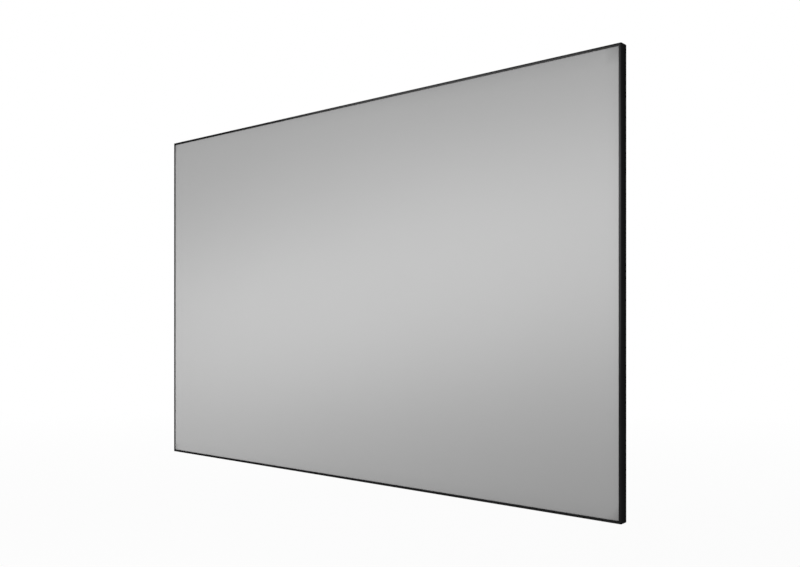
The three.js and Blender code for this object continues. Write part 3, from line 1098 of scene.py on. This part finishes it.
nodeFinishes = {
    "rail_top": "railAcross",
    "rail_bottom": "railAcross",
    "rail_left": "railUpright",
    "rail_right": "railUpright",
    "support_bar": "railUpright",
    "corner_bracket": "castMetal",
    "joiner_top": "castMetal",
    "joiner_bottom": "castMetal",
    "bar_clip": "mouldedPlastic",
    "wall_bracket": "zincPlate",
}


def finishNodes():
    dressed = 0
    for start, finishName in nodeFinishes.items():
        for name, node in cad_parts.items():
            if name.startswith(start):
                node.data.materials.clear()
                node.data.materials.append(finishes[finishName])
                dressed += 1
    print("frame nodes finished:", dressed)


finishNodes()


# Floor, world and lamps, in metres

stage = {
    "floorDrop": 0.52,
    "floorRings": (0, 2, 4, 7, 11, 18, 30),
    "floorAround": 48,
    "floorWeld": 1e-5,
    "floorGrey": 0.66,
    "floorSpread": 0.01,
    "floorNoise": (14, 3),
    "shownWhite": 0.96,
    "fadeStart": 3,
    "fadeEnd": 9.6,
    "worldForDiffuse": 0.36,
}
lamps = {
    "longSoftbox": {
        "place": (1.0, -0.601, 0.145),
        "aim": (1.0, -0.015, 0.005),
        "size": (5.8, 0.665),
        "rollDegrees": 8.0,
        "power": 17.7,
    },
    "leftSoftbox": {
        "place": (-2.761, -3.735, 1.191),
        "aim": (0, 0, 0),
        "size": (2.93, 1.25),
        "rollDegrees": 0,
        "power": 69.9,
    },
}


# 1 for what the camera sees, directly, in a gloss or through glass, and 0 for diffuse light
def lightPathWhite(f):
    kinds = ("Is Camera Ray", "Is Glossy Ray", "Is Transmission Ray")
    seen, mirrored, through = [f.node("ShaderNodeLightPath", output=kind) for kind in kinds]
    return f.maths("MAXIMUM", f.maths("MAXIMUM", seen, mirrored), through)


# The floor takes light and shadow, and shows mostly as white, wholly so far out.
def floorPaint():
    f = newFinish("floorPaint")
    flatSpot = f.place((1, 1, 0))
    radius = f.node("ShaderNodeVectorMath", {"operation": "LENGTH"}, {0: flatSpot}, output="Value")
    fade = {0: radius, 1: stage["fadeStart"], 2: stage["fadeEnd"]}
    far = f.node("ShaderNodeMapRange", {}, fade)
    shown = lightPathWhite(f) * (stage["shownWhite"] + far * (1 - stage["shownWhite"]))
    dark = (stage["floorGrey"] - stage["floorSpread"],) * 3
    light = (stage["floorGrey"] + stage["floorSpread"],) * 3
    grain = f.noise(f.place(), *stage["floorNoise"])
    paint = f.node("ShaderNodeBsdfDiffuse", {}, {"Color": f.tone(grain, dark, light)})
    white = f.node("ShaderNodeEmission", {}, {"Color": (1, 1, 1, 1), "Strength": 1})
    mixed = f.node("ShaderNodeMixShader", {}, {0: shown, 1: paint, 2: white})
    f.node("ShaderNodeOutputMaterial", {}, {"Surface": mixed})
    return f.owner


# Rings about the middle, below the screen
def makeFloor():
    low = cadBox[0][2] - stage["floorDrop"]
    rings = np.array(stage["floorRings"], float)[:, None]
    angle = np.linspace(0, math.tau, stage["floorAround"], endpoint=False)
    x = rings * np.cos(angle)
    y = rings * np.sin(angle)
    points = np.stack([x, y, np.full_like(x, low)], -1).reshape(-1, 3)
    mesh = bpy.data.meshes.new("floor")
    mesh.from_pydata(points.tolist(), [], gridFaces(*x.shape, roundColumns=True).tolist())
    mendMesh(mesh, stage["floorWeld"])
    if mesh.polygons[0].normal.z < 0:
        mesh.flip_normals()
    mesh.materials.append(floorPaint())
    floor = bpy.data.objects.new("floor", mesh)
    bpy.context.scene.collection.objects.link(floor)


def makeWorld():
    world = bpy.data.worlds.new("studio")
    bpy.context.scene.world = world
    f = Finish(world)
    paper = (1, 1, 1, 1)
    level = stage["worldForDiffuse"]
    soft = f.node("ShaderNodeBackground", {}, {"Color": paper, "Strength": level})
    white = f.node("ShaderNodeBackground", {}, {"Color": paper, "Strength": 1})
    mixed = f.node("ShaderNodeMixShader", {}, {0: lightPathWhite(f), 1: soft, 2: white})
    f.node("ShaderNodeOutputWorld", {}, {"Surface": mixed})


def makeLamps():
    for name, lamp in lamps.items():
        data = bpy.data.lights.new(name, "AREA")
        data.shape = "RECTANGLE"
        data.size, data.size_y = lamp["size"]
        data.energy = lamp["power"]
        body = bpy.data.objects.new(name, data)
        body.location = lamp["place"]
        heading = Vector(lamp["aim"]) - Vector(lamp["place"])
        roll = Euler((0, 0, math.radians(lamp["rollDegrees"]))).to_matrix()
        body.rotation_euler = (heading.to_track_quat("-Z", "Y").to_matrix() @ roll).to_euler()
        body.visible_camera = False
        bpy.context.scene.collection.objects.link(body)


makeFloor()
makeWorld()
makeLamps()
bpy.context.scene.view_settings.view_transform = "Standard"
print("floor, world and lamps made")
